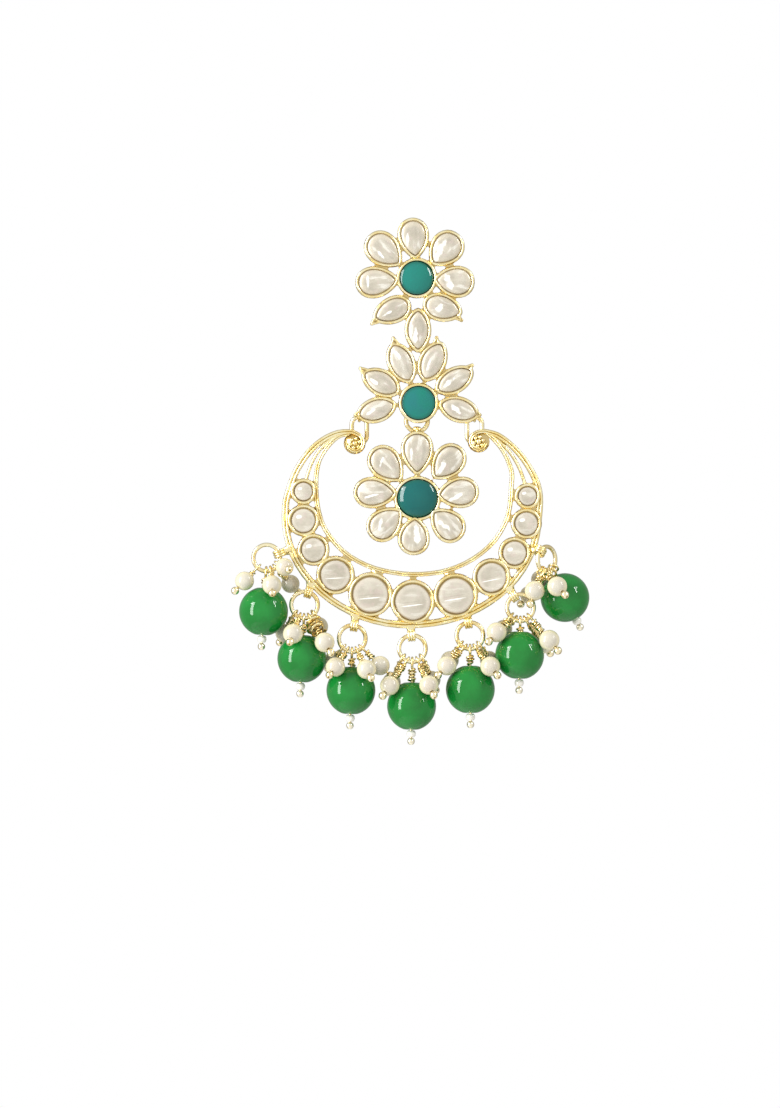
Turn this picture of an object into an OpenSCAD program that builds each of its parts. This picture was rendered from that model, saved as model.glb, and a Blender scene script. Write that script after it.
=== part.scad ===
// A crescent drop earring in the kundan manner. A flower stud carries a half flower, and from it hang
// a flower pendant and a crescent frame with seven drops of one glass bead and four pearls.
// The origin lies on the ear post, at the back face of the stud. The front faces -Y, up is +Z.

/* [Settings] */
// Thickness of the closed plate behind every stone
plate_thick = 0.8; // [0.7:0.1:1]
// Depth of the front edge of the bezel walls, from the back face
wall_front = 1.9; // [1.7:0.1:2.1]
// Thickness of a bezel wall
wall_thick = 0.5; // [0.4:0.05:0.6]
// Clearance between a stone and its seat
stone_gap = 0.1; // [0.1:0.01:0.12]
// Radius of the solder that fills the corners between bezels
solder_round = 0.35; // [0.25:0.05:0.4]

/* [Stones] */
// Height of a petal stone
petal_stone_height = 1.25; // [1:0.05:1.4]
// Height of a round crescent stone
round_stone_height = 1.15; // [1:0.05:1.4]
// Height of a teal centre stone
teal_stone_height = 1.5; // [1.2:0.1:1.8]

/* [Crescent] */
// Width of the outer rim at the bottom
outer_rim_width = 1.25; // [1.1:0.05:1.3]
// Width of the inner rim
inner_rim_width = 0.8; // [0.7:0.05:0.9]

/* [Links and rings] */
// Wire radius of the two side links and the pendant link
link_wire = 0.35; // [0.3:0.01:0.36]
// Depth of the link plane behind the back faces
link_back = 0.75; // [0.72:0.01:0.8]
// Outer width of a side link
side_link_width = 3.5; // [3.4:0.05:3.6]
// Outer height of a side link
side_link_height = 5.6; // [5.5:0.05:5.7]
// Outer diameter of the pendant link
pendant_link_size = 4.7; // [4.6:0.05:4.8]
// Radius of a jump ring's middle line
ring_radius = 2.475; // [2.45:0.005:2.5]
// Wire radius of a jump ring
ring_wire = 0.4; // [0.36:0.01:0.4]

/* [Drops] */
// Widest radius of a green glass bead
bead_radius = 4.55; // [4.4:0.05:4.6]
// Half the height of a green bead between its flat ends
bead_half_height = 4.38; // [4.3:0.02:4.4]
// Radius of the hole through a green bead
bead_bore = 0.45; // [0.42:0.01:0.5]
// Wire radius of a bead's pin
bead_pin_wire = 0.24; // [0.2:0.01:0.25]
// Wire radius of a pearl's pin
pearl_pin_wire = 0.2; // [0.18:0.01:0.22]
// Radius of the hole through a pearl
pearl_bore = 0.32; // [0.3:0.01:0.34]

/* [Ear post] */
// Radius of the ear post
post_radius = 0.4; // [0.35:0.05:0.45]
// Length of the ear post behind its foot
post_length = 10.6; // [9:0.2:12]

/* [Hidden] */
// Every flat shape is drawn as it is seen from the front, x to the right and z up.
// Bearings are in degrees, clockwise from straight up.
seat = plate_thick + stone_gap;

// Round teal stones: [x, z, width, height]
teal_stones = [[0, 0, 6.25, 6.25], [0.3, -23.2, 6.2, 6.2], [0.1, -40.9, 7.45, 7.05]];

// Petal stones: [x, z, bearing, length, width, form, tip turn, tip reach].
// A pear points at the flower's middle and a leaf points outwards. A marquise and an almond
// have a point at both ends. The bezel of a leaf or an almond runs on into a tip, which
// reaches past the stone and turns by the angle given.
top_petals = [
    [-0.62,  7.35,  -6, 6.4, 4.6, "pear", 0, 0],
    [ 5.25,  5.30,  43, 6.3, 5.0, "pear", 0, 0],
    [ 6.90, -0.65,  95, 6.4, 4.7, "pear", 0, 0],
    [ 4.78, -5.55, 106, 6.3, 4.0, "leaf", 57, 1.5],
    [ 0.20, -9.70, 180, 7.0, 3.7, "marquise", 0, 0],
    [-4.65, -6.05, 246, 6.3, 3.8, "leaf", -30, 1.4],
    [-7.40, -0.75, 265, 6.8, 4.7, "pear", 0, 0],
    [-6.05,  5.10, 311, 6.8, 5.0, "pear", 0, 0]
];
middle_petals = [
    [-2.90, -15.75, -25, 6.9, 3.9, "almond", 24, 1.45],
    [ 2.90, -15.50,  25, 6.8, 3.9, "almond", -52, 1.5],
    [ 6.95, -19.00,  60, 6.7, 3.6, "almond", -41, 1.15],
    [ 7.80, -24.40, 107, 6.5, 3.6, "almond", -12, 0.75],
    [-7.50, -24.50, 253, 6.4, 3.5, "almond", 18, 0.85],
    [-6.65, -19.40, 298, 6.6, 3.7, "almond", 22, 1.4]
];
pendant_petals = [
    [ 0.05, -32.45,   0, 6.9, 4.8, "pear", 0, 0],
    [ 5.65, -34.25,  42, 6.5, 4.7, "pear", 0, 0],
    [ 7.60, -39.85,  83, 6.6, 4.6, "pear", 0, 0],
    [ 5.55, -45.70, 133, 6.2, 4.7, "pear", 0, 0],
    [-0.55, -47.85, 184, 5.9, 4.7, "pear", 0, 0],
    [-5.80, -45.50, 229, 6.4, 4.7, "pear", 0, 0],
    [-7.75, -39.85, 272, 6.8, 4.6, "pear", 0, 0],
    [-5.60, -34.65, 317, 6.7, 4.8, "pear", 0, 0]
];

// Round stones of the crescent: [x, z, width], from the left horn round to the right one
round_stones = [
    [-21.05, -39.60, 3.6], [-21.05, -44.95, 4.7], [-19.20, -50.40, 4.7], [-15.10, -55.10, 5.9],
    [ -8.60, -58.70, 7.0], [ -0.75, -60.05, 7.0], [  7.20, -58.90, 7.0], [ 13.85, -55.50, 5.8],
    [ 18.10, -51.00, 4.7], [ 20.30, -45.55, 4.5], [ 20.50, -40.45, 3.6]
];

// Middles from which the edges of the two rims are measured
outer_rim_middle = [-0.75, -40.7];
inner_rim_middle = [-0.55, -36.9];
// Edges of the crescent round its lower part: [bearing, radius outside, radius inside]
rim_edges = [
    [266, 24.30, 17.80], [254, 24.95, 18.25], [240, 25.30, 18.75], [224, 25.10, 18.65],
    [208, 24.75, 18.20], [192, 24.45, 17.75], [176, 24.20, 17.70], [160, 24.35, 18.00],
    [144, 24.65, 18.35], [128, 24.95, 18.65], [112, 24.80, 18.45], [96, 24.20, 17.75]
];

// Middle lines of the wires in each horn, from the scroll down to the lower arc: [x, z]
left_outer_horn = [[-12.1, -28.5], [-14.7, -28.7], [-17.6, -30.1], [-20.1, -32.4], [-22.2, -35.5],
                   [-23.6, -39.0]];
right_outer_horn = [[12.6, -28.4], [14.9, -29.1], [17.0, -30.6], [19.4, -33.1], [21.4, -36.2],
                    [22.6, -39.3]];
left_inner_horn = [[-12.6, -28.9], [-14.5, -29.4], [-16.5, -31.2], [-18.0, -33.6], [-18.6, -36.0]];
right_inner_horn = [[13.0, -28.8], [14.3, -30.0], [15.7, -31.7], [16.9, -33.9], [17.6, -36.2]];
left_middle_horn = [[-14.3, -29.1], [-16.2, -30.1], [-18.2, -32.0], [-19.7, -34.7], [-20.6, -37.6]];
right_middle_horn = [[13.8, -29.2], [15.6, -30.6], [17.5, -32.7], [19.1, -35.5], [20.1, -38.4]];

// Scrolls at the tips of the horns: [x, z, side that the horn comes from]
scrolls = [[-11.55, -30.65, -1], [11.45, -30.35, 1]];
scroll_radius = 2.0;

// Height above which the horns are open wires, with no solder between them
horn_z = -37.2;

// Height of the hinge line of the crescent, through the tops of the side links
crescent_hinge_z = -25.75;
// Height of the hinge line of the pendant, through the bottom of its link
pendant_hinge_z = -28.5;
// Height at which the feet of the side links hold the crescent's eyes
link_foot_z = crescent_hinge_z - side_link_height + 2 * link_wire;
// Distance of each side link from the middle
side_link_x = 10.7;
// Soldered eyes that hold the links: radius of the middle line, wire radius
eye_radius = 0.85;
eye_wire = 0.28;
// How far a link sits off the middle of its eye
eye_slack = 0.12;
// Number of points on the outline of a petal stone's bezel and of a teal stone
petal_points = 28;
teal_points = 36;

// Drops, left to right: [ring x, ring z, ring yaw, bearing of the bail on the rim, bead x, y, z]
drops = [
    [-27.85, -51.95,  0, 247, -28.45, -0.7, -61.85],
    [-20.85, -60.65,  0, 230, -21.35, -0.7, -70.60],
    [-12.00, -66.90,  0, 206, -12.25, -0.7, -76.50],
    [ -0.85, -68.75,  0, 181,  -1.00, -0.7, -79.40],
    [  9.85, -66.35,  0, 155,   9.90, -0.7, -76.30],
    [ 19.20, -61.15,  0, 133,  19.05, -0.7, -69.95],
    [ 24.05, -52.30, 48, 113,  27.50,  2.2, -59.30]
];
// Depth of the jump rings' middle, behind which the bails are soldered
ring_y = -0.7;

// Pearls: [drop, bearing on its ring from straight down, x, y, z, radius]
pearls = [
    [1, -44, -31.95, -1.6, -56.20, 1.75], [1,  20, -26.85, -4.6, -56.95, 1.80],
    [1,  43, -23.50,  2.6, -56.75, 1.70], [1,  66, -24.50, -3.9, -53.60, 1.65],
    [2, -25, -22.95, -5.0, -65.95, 1.85], [2, -48, -24.60,  2.8, -65.90, 1.70],
    [2,  23, -17.10, -4.7, -67.55, 1.85], [2,  47, -18.30,  2.9, -64.70, 1.80],
    [3, -24, -15.10, -4.5, -72.10, 1.80], [3, -46, -15.50,  2.4, -71.00, 1.75],
    [3,  22,  -9.35, -5.0, -72.55, 1.80], [3,  46,  -6.85, -0.4, -71.90, 1.80],
    [4, -24,  -5.05, -3.9, -75.55, 1.80], [4, -46,  -4.70,  2.8, -75.00, 1.70],
    [4,  24,   2.20, -4.7, -75.45, 1.80], [4,  46,   2.70,  2.6, -74.60, 1.70],
    [5, -26,   5.55, -2.7, -71.90, 1.80], [5, -48,   6.10,  2.6, -70.95, 1.70],
    [5,  24,  13.55, -4.2, -72.00, 1.85], [5,  46,  13.40,  2.6, -70.90, 1.70],
    [6, -50,  14.75, -3.2, -65.70, 1.85], [6, -26,  16.10,  3.2, -65.10, 1.65],
    [6,  46,  24.50, -3.2, -67.15, 1.90], [6,  24,  23.60,  3.5, -68.00, 1.70],
    [7, -38,  21.80, -2.9, -58.00, 1.85], [7,  10,  20.80,  2.2, -58.80, 1.65],
    [7, -14,  25.95, -3.9, -57.20, 1.85], [7,  56,  22.90,  5.2, -55.90, 1.65]
];

// Radii of the pins' loops, on the middle line, and of the balls at their feet
bead_loop = 0.95;
pearl_loop = 0.9;
bead_ball = 0.7;
pearl_ball = 0.75;
// Space left under a bead for the seed bead that the ball holds
seed_space = 1.45;
// Clearance between a pin's collar or ball and the bead it holds
pin_gap = 0.1;
// Clearance between a jump ring and the inside of a pin's loop
loop_gap = 0.14;

gold = "gold";
$fn = 40;

// Outlines

// Greatest half width that the drop formula gives before it is scaled
function drop_peak(k) =
    let (t = 2 * asin(sqrt((1 + k) / (2 + k)))) sin(t) * pow(sin(t / 2), k);

// A drop-shaped outline: round at the top, drawn to a point at the bottom the more k grows
function drop_outline(l, w, k, n, shift) =
    [for (i = [0:n - 1]) let (t = 360 * (i + shift) / n)
        [w / 2 * sin(t) * pow(sin(t / 2), k) / drop_peak(k), -l / 2 * cos(t)]];

// An outline with a point at both ends, the finer the more k grows
function pointed_outline(l, w, k, n, shift) =
    [for (i = [0:n - 1]) let (t = 360 * (i + shift) / n)
        [w / 2 * sin(t) * pow(abs(sin(t)), k), -l / 2 * cos(t)]];

// The outline of a stone of each form, with its length upright
function stone_outline(form, l, w, n, shift = 0) =
    form == "pear" ? drop_outline(l, w, 0.55, n, shift) :
    form == "leaf" ? [for (p = drop_outline(l, w, 0.35, n, shift)) [-p.x, -p.y]] :
    form == "marquise" ? pointed_outline(l, w, 0.5, n, shift) :
    form == "almond" ? pointed_outline(l, w, 0.3, n, shift) :
    drop_outline(l, w, 0, n, shift);

// A point on a smooth curve through four points, u running from the second to the third
function curve_point(a, b, c, d, u) =
    0.5 * (2 * b + (c - a) * u + (2 * a - 5 * b + 4 * c - d) * u * u
        + (3 * b - a - 3 * c + d) * u * u * u);

// A smooth path through a list of points, with the given number of steps between two of them
function smooth(p, steps) = let (last = len(p) - 1) concat(
    [for (i = [0:last - 1], j = [0:steps - 1])
        curve_point(p[max(i - 1, 0)], p[i], p[i + 1], p[min(i + 2, last)], j / steps)],
    [p[last]]);

// A point at a bearing and a radius from a middle
function bearing_point(middle, bearing, radius) = middle + radius * [sin(bearing), cos(bearing)];

// Left-hand normal of a path at one of its points
function path_side(p, i) =
    let (d = p[min(i + 1, len(p) - 1)] - p[max(i - 1, 0)]) [-d.y, d.x] / norm(d);

// The middle line of a rim, from the left scroll down and round to the right one. The edge is
// a column of the table of rim edges, and the inset goes from there to the middle of the wire.
function rim_path(left, right, middle, edge, inset) = smooth(concat(
    left,
    [for (row = rim_edges) bearing_point(middle, row[0], row[edge] + inset)],
    [for (i = [len(right) - 1:-1:0]) right[i]]), 3);

outer_path = rim_path(left_outer_horn, right_outer_horn, outer_rim_middle, 1, -outer_rim_width / 2);
inner_path = rim_path(left_inner_horn, right_inner_horn, inner_rim_middle, 2, inner_rim_width / 2);

// A band of a width that grows from its ends to its middle
module band(path, end_width, middle_width) {
    last = len(path) - 1;
    half = [for (i = [0:last])
        (end_width + (middle_width - end_width) * sqrt(sin(180 * i / last))) / 2];
    polygon(concat(
        [for (i = [0:last]) path[i] + half[i] * path_side(path, i)],
        [for (i = [last:-1:0]) path[i] - half[i] * path_side(path, i)]));
    translate(path[0]) circle(end_width / 2, $fn = 16);
    translate(path[last]) circle(end_width / 2, $fn = 16);
}

// A flat shape from one depth behind the front to another, counted from the back face
module slab(from, to) {
    translate([0, -from, 0]) rotate([90, 0, 0]) linear_extrude(to - from) children();
}

// Places a flat shape at a petal's row, turned to its bearing
module at_petal(row) {
    translate([row[0], row[1]]) rotate(-row[2]) children();
}

// The outline of a petal's bezel at its outer face, with its tip
module petal_bezel(row) {
    reach = row[3] / 2;
    tip = [row[7] * sin(row[6]), reach + row[7] * cos(row[6])];
    at_petal(row) {
        offset(delta = stone_gap + wall_thick, chamfer = true)
            polygon(stone_outline(row[5], row[3], row[4], petal_points));
        if (row[7] > 0) {
            polygon([[-1.0, reach - 0.9], [1.0, reach - 0.9], tip + [0.3, 0], tip - [0.3, 0]]);
            translate(tip) circle(0.3, $fn = 16);
        }
    }
}

// The opening of a petal's bezel, in which the stone sits
module petal_opening(row) {
    at_petal(row) offset(delta = stone_gap)
        polygon(stone_outline(row[5], row[3], row[4], petal_points));
}

// The outline of a teal stone, grown by a margin
module teal_outline(row, margin) {
    translate([row[0], row[1]])
        polygon(stone_outline("round", row[3] + 2 * margin, row[2] + 2 * margin, teal_points));
}

// The bezels of one or more flowers, at their outer faces
module flower_bezels(petals, middles) {
    for (row = petals) petal_bezel(row);
    for (row = middles) teal_outline(row, stone_gap + wall_thick);
}

// Fills the corners between neighbouring bezels with solder, to a radius
module soldered(radius) {
    offset(r = -radius, $fn = 16) offset(r = radius, $fn = 16) children();
}

// A casting of flowers: a closed plate, and a wall round each stone
module flower_casting(petals, middles) {
    slab(0, plate_thick) offset(delta = 0.04) soldered(solder_round) flower_bezels(petals, middles);
    slab(plate_thick - 0.1, wall_front) difference() {
        soldered(0.1) flower_bezels(petals, middles);
        for (row = petals) petal_opening(row);
        for (row = middles) teal_outline(row, stone_gap);
    }
}

// An eye behind a casting, which a link passes through along x
module eye(x, z) {
    translate([x, link_back, z]) rotate([0, 90, 0])
        rotate_extrude() translate([eye_radius, 0]) circle(eye_wire, $fn = 20);
}

module stud_frame() {
    color(gold) {
        flower_casting(concat(top_petals, middle_petals), [teal_stones[0], teal_stones[1]]);
        for (side = [-1, 1]) eye(side * side_link_x, crescent_hinge_z + eye_slack);
        eye(0, pendant_hinge_z + pendant_link_size - 2 * link_wire + eye_slack);
    }
}

module pendant_frame() {
    color(gold) {
        flower_casting(pendant_petals, [teal_stones[2]]);
        eye(0, pendant_hinge_z - eye_slack);
    }
}

// Ear post with the round foot that seats it on the back of the stud
module ear_post() {
    foot_thick = 0.5;
    color(gold) translate([0, stone_gap, 0]) rotate([-90, 0, 0]) {
        cylinder(r = 1.6, h = foot_thick);
        cylinder(r = post_radius, h = post_length + foot_thick - post_radius);
        translate([0, 0, post_length + foot_thick - post_radius]) sphere(post_radius);
    }
}

// The wires, scrolls and bezels of the crescent, as one outline
module crescent_outline() {
    wires();
    intersection() {
        translate([-30, -70]) square([60, 70 + horn_z]);
        soldered(solder_round) {
            wires();
            for (row = round_stones)
                translate([row[0], row[1]]) circle(row[2] / 2 + stone_gap + wall_thick, $fn = 36);
        }
    }
}

// The rims, the wires in the horns and the scrolls
module wires() {
    soldered(0.1) {
        band(outer_path, 0.75, outer_rim_width);
        band(inner_path, 0.65, inner_rim_width);
        band(smooth(left_middle_horn, 3), 0.5, 0.55);
        band(smooth(right_middle_horn, 3), 0.5, 0.55);
        for (row = scrolls) translate([row[0], row[1]]) circle(scroll_radius);
    }
}

// The raised turn of wire round a scroll
module scroll_turn() {
    difference() {
        circle(scroll_radius - 0.08);
        circle(scroll_radius - 0.65);
    }
}

// A soldered bail that holds a jump ring: an eye on the ring's wire and a neck to the rim
module bail(drop) {
    edge = lookup(-drop[3], [for (row = rim_edges) [-row[0], row[1]]]);
    flat = bearing_point(outer_rim_middle, drop[3], edge - outer_rim_width / 2);
    rim = [flat.x, ring_y, flat.y];
    turn = atan2(rim.x - drop[0], rim.z - drop[1]);
    held = ring_point(drop, 180 - turn);
    wire = ring_wire_way(drop, 180 - turn);
    difference() {
        union() {
            along(held, wire, rim - held) cylinder(r = 1.15, h = 1.5, center = true);
            along(held, rim - held, wire)
                translate([-0.65, -0.6, 0.85]) cube([1.3, 1.2, norm(rim - held) - 0.85]);
        }
        along(held, wire, rim - held) cylinder(r = 0.7, h = 4, center = true);
    }
}

// The ball soldered on the middle of a scroll
module scroll_ball() {
    rotate_extrude() polygon([[0, 0], [0.72, 0], [0.72, 0.35], [0.65, 0.6], [0.45, 0.82], [0, 0.82]]);
}

module crescent_frame() {
    color(gold) {
        slab(0, plate_thick) offset(delta = 0.04) crescent_outline();
        slab(plate_thick - 0.1, wall_front) for (row = round_stones) translate([row[0], row[1]])
            difference() {
                circle(row[2] / 2 + stone_gap + wall_thick - 0.03);
                circle(row[2] / 2 + stone_gap);
            }
        slab(plate_thick - 0.1, 1.25) difference() {
            union() {
                band(outer_path, 0.7, outer_rim_width - 0.1);
                band(inner_path, 0.6, inner_rim_width - 0.15);
                for (row = round_stones) translate([row[0], row[1]]) circle(row[2] / 2 + 0.3);
            }
            band(outer_path, 0.2, 0.3);
            for (row = round_stones)
                translate([row[0], row[1]]) circle(row[2] / 2 + stone_gap + 0.05);
        }
        for (row = scrolls) {
            slab(plate_thick - 0.1, 1.5) translate([row[0], row[1]]) scroll_turn();
            translate([row[0], -plate_thick + 0.1, row[1]]) rotate([90, 0, 0]) scroll_ball();
            eye(row[2] * side_link_x, link_foot_z - eye_slack);
        }
        for (drop = drops) bail(drop);
    }
}

// Stones

// A closed solid through a list of rings that have the same number of points
module loft(rings) {
    n = len(rings[0]);
    last = (len(rings) - 1) * n;
    polyhedron(
        points = [for (ring = rings, p = ring) p],
        faces = concat(
            [[for (i = [0:n - 1]) i]],
            [[for (i = [n - 1:-1:0]) last + i]],
            [for (r = [0:len(rings) - 2], i = [0:n - 1]) let (a = r * n, j = (i + 1) % n)
                [a + i, a + n + i, a + j]],
            [for (r = [0:len(rings) - 2], i = [0:n - 1]) let (a = r * n, j = (i + 1) % n)
                [a + j, a + n + i, a + n + j]]));
}

// One ring of a stone: its outline at a scale, at a depth in front of the seat
function stone_ring(form, l, w, n, shift, size, depth) =
    [for (p = stone_outline(form, l, w, n, shift)) [size * p.x, -depth, size * p.y]];

// A cut stone with a girdle, two rows of facets and a table
module cut_stone(form, l, w, h, n) {
    loft([
        stone_ring(form, l, w, n, 0, 1, 0),
        stone_ring(form, l, w, n, 0, 1, 0.5 * h),
        stone_ring(form, l, w, n, 0.5, 0.85, 0.85 * h),
        stone_ring(form, l, w, n, 1, 0.6, h)
    ]);
}

// A smooth stone with a low dome over its girdle
module domed_stone(l, w, h, n) {
    girdle = 0.6 * h;
    loft(concat(
        [stone_ring("round", l, w, n, 0, 1, 0)],
        [for (a = [0:18:72]) stone_ring("round", l, w, n, 0, cos(a), girdle + (h - girdle) * sin(a))]));
}

module teal_stone(row) {
    color("teal") translate([row[0], -seat, row[1]])
        domed_stone(row[3], row[2], teal_stone_height, teal_points);
}

module petal_stone(row) {
    color("antiquewhite") translate([row[0], -seat, row[1]]) rotate([0, row[2], 0])
        cut_stone(row[5], row[3], row[4], petal_stone_height, 16);
}

module round_stone(row) {
    color("antiquewhite") translate([row[0], -seat, row[1]])
        cut_stone("round", row[2], row[2], round_stone_height, 16);
}

// Links

// An oval link of straight sides and round ends, standing in the link plane
module side_link(side) {
    end_radius = side_link_width / 2 - link_wire;
    straight = side_link_height - side_link_width;
    color(gold) translate([side * side_link_x, link_back, crescent_hinge_z - end_radius])
        rotate([90, 0, 0]) {
            rotate_extrude(angle = 180) translate([end_radius, 0]) circle(link_wire, $fn = 24);
            for (x = [-end_radius, end_radius]) translate([x, 0, 0]) rotate([90, 0, 0])
                cylinder(r = link_wire, h = straight, $fn = 24);
            translate([0, -straight, 0]) rotate([0, 0, 180])
                rotate_extrude(angle = 180) translate([end_radius, 0]) circle(link_wire, $fn = 24);
        }
}

module pendant_link() {
    radius = pendant_link_size / 2 - link_wire;
    color(gold) translate([0, link_back, pendant_hinge_z + radius]) rotate([90, 0, 0])
        rotate_extrude() translate([radius, 0]) circle(link_wire, $fn = 24);
}

// Direction across a drop's ring in its own plane
function ring_across(drop) = [cos(drop[2]), sin(drop[2]), 0];

// A point on the middle line of a drop's ring, by its bearing from straight down
function ring_point(drop, bearing) = [drop[0], ring_y, drop[1]]
    + ring_radius * (sin(bearing) * ring_across(drop) - cos(bearing) * [0, 0, 1]);

// Direction of the ring's wire at a bearing
function ring_wire_way(drop, bearing) =
    cos(bearing) * ring_across(drop) + sin(bearing) * [0, 0, 1];

module drop_ring(i) {
    drop = drops[i - 1];
    color(gold) translate([drop[0], ring_y, drop[1]]) rotate([0, 0, drop[2]]) rotate([90, 0, 0])
        rotate_extrude() translate([ring_radius, 0]) circle(ring_wire, $fn = 24);
}

// Drops

// Stands its children on a point, z along the given way and x as near as it can be to the wire
module along(start, way, wire) {
    z = way / norm(way);
    flat = wire - (wire * z) * z;
    x = flat / norm(flat);
    y = cross(z, x);
    multmatrix([[x[0], y[0], z[0], start[0]], [x[1], y[1], z[1], start[1]],
                [x[2], y[2], z[2], start[2]], [0, 0, 0, 1]]) children();
}

// A head pin: its loop round the ring, its wrapped neck, its stem and its ball.
// hold is where the held bead begins, and ball is where the middle of the ball lies.
module head_pin(loop, wire, hold, ball, ball_radius) {
    middle = loop - wire - ring_wire - loop_gap;
    neck = middle + loop;
    translate([0, 0, middle]) rotate([0, 90, 0])
        rotate_extrude() translate([loop, 0]) circle(wire, $fn = 20);
    translate([0, 0, neck]) cylinder(r = wire, h = ball - neck, $fn = 24);
    translate([0, 0, neck]) cylinder(r = 2 * wire, h = hold - neck, $fn = 24);
    translate([0, 0, ball]) sphere(ball_radius, $fn = 24);
}

function bead_middle(drop) = [drop[4], drop[5], drop[6]];
function bead_bearing(drop) =
    let (v = bead_middle(drop) - [drop[0], ring_y, drop[1]]) atan2(v * ring_across(drop), -v.z);

// Stands its children where a drop's bead hangs on its ring, z towards the bead
module at_bead(drop) {
    b = bead_bearing(drop);
    along(ring_point(drop, b), bead_middle(drop) - ring_point(drop, b), ring_wire_way(drop, b))
        children();
}

module green_bead(i) {
    drop = drops[i - 1];
    reach = norm(bead_middle(drop) - ring_point(drop, bead_bearing(drop)));
    color("seagreen") at_bead(drop) translate([0, 0, reach]) difference() {
        intersection() {
            sphere(bead_radius, $fn = 64);
            cube([10, 10, 2 * bead_half_height], center = true);
        }
        cylinder(r = bead_bore, h = 10, center = true);
    }
}

module bead_pins() {
    color(gold) for (drop = drops) {
        reach = norm(bead_middle(drop) - ring_point(drop, bead_bearing(drop)));
        at_bead(drop) head_pin(bead_loop, bead_pin_wire, reach - bead_half_height - pin_gap,
            reach + bead_half_height + seed_space + bead_ball, bead_ball);
    }
}

// Stands its children where a pearl hangs on its drop's ring, z towards the pearl
module at_pearl(row) {
    drop = drops[row[0] - 1];
    held = ring_point(drop, row[1]);
    along(held, [row[2], row[3], row[4]] - held, ring_wire_way(drop, row[1])) children();
}

function pearl_reach(row) = norm([row[2], row[3], row[4]] - ring_point(drops[row[0] - 1], row[1]));

module pearls() {
    color("linen") for (row = pearls) at_pearl(row) translate([0, 0, pearl_reach(row)]) difference() {
        sphere(row[5], $fn = 32);
        cylinder(r = pearl_bore, h = 8, center = true, $fn = 24);
    }
}

module pearl_pins() {
    color(gold) for (row = pearls) at_pearl(row)
        head_pin(pearl_loop, pearl_pin_wire, pearl_reach(row) - row[5] - pin_gap,
            pearl_reach(row) + row[5] + pin_gap + pearl_ball, pearl_ball);
}

stud_frame();
ear_post();
pendant_frame();
crescent_frame();
teal_stone(teal_stones[0]);  // teal_stone_top
teal_stone(teal_stones[1]);  // teal_stone_middle
teal_stone(teal_stones[2]);  // teal_stone_pendant
for (i = [1:len(top_petals)])
    petal_stone(top_petals[i - 1]);
for (i = [1:len(middle_petals)])
    petal_stone(middle_petals[i - 1]);
for (i = [1:len(pendant_petals)])
    petal_stone(pendant_petals[i - 1]);
for (i = [1:len(round_stones)])
    round_stone(round_stones[i - 1]);
side_link(-1);  // side_link_left
side_link(1);  // side_link_right
pendant_link();
for (i = [1:len(drops)]) drop_ring(i);
for (i = [1:len(drops)]) green_bead(i);
bead_pins();
pearls();
pearl_pins();
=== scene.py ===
from collections import namedtuple
from math import asin, atan2, cos, degrees, exp, hypot, pi, radians, sin, sqrt

import bmesh
import bpy
from mathutils import Matrix, Vector


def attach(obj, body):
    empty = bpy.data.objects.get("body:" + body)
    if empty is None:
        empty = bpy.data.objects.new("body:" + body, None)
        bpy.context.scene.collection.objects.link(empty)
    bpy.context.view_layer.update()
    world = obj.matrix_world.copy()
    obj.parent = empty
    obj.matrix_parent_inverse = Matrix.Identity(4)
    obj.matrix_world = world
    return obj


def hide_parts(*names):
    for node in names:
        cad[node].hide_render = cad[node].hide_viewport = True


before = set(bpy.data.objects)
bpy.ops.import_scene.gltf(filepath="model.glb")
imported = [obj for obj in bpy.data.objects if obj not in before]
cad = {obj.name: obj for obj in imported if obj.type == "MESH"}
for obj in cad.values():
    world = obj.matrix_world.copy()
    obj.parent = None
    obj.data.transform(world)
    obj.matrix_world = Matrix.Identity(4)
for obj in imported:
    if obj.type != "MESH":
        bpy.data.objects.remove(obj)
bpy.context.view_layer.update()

# Studio: the earring hangs in a white room and is seen straight from the front through a long
# lens. The room is brightest behind the camera, and two narrow windows stand left and right.
mm = 0.001
scene = bpy.context.scene
scene.view_settings.view_transform = "Standard"

view_middle = Vector((-5.0, 0, -51.2)) * mm
camera_away, view_height, film_width = 1.6, 0.2056, 36
camera = bpy.data.objects.new("camera", bpy.data.cameras.new("camera"))
camera.data.lens = film_width * camera_away / view_height
camera.data.sensor_width = film_width
camera.data.clip_end = 20
camera.location = view_middle + Vector((0, -camera_away, 0))
camera.rotation_euler = (radians(90), 0, 0)
scene.collection.objects.link(camera)
scene.camera = camera

lamp_away = 0.8


def soft_light(name, azimuth, elevation, width, height, power):
    """A soft lamp that faces the earring. Azimuth 0 is in front of it, and 90 on the right."""
    data = bpy.data.lights.new(name, "AREA")
    data.shape = "RECTANGLE"
    data.size, data.size_y, data.energy = width, height, power
    lamp = bpy.data.objects.new(name, data)
    a, e = radians(azimuth), radians(elevation)
    away = Vector((sin(a) * cos(e), -cos(a) * cos(e), sin(e)))
    lamp.location = view_middle + lamp_away * away
    lamp.rotation_euler = away.to_track_quat("Z", "Y").to_euler()
    scene.collection.objects.link(lamp)


soft_light("left_window", azimuth=-58, elevation=12, width=0.2, height=0.8, power=6.6)
soft_light("left_lamp", azimuth=-66, elevation=30, width=0.14, height=0.07, power=0.5)
soft_light("right_window", azimuth=62, elevation=31, width=0.06, height=0.36, power=1.5)
soft_light("right_lamp", azimuth=74, elevation=38, width=0.1, height=0.1, power=0.35)


def fill(node, values):
    """Sets a node's own values, each by the name of its socket."""
    for socket, value in values.items():
        node.inputs[socket].default_value = value


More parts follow.
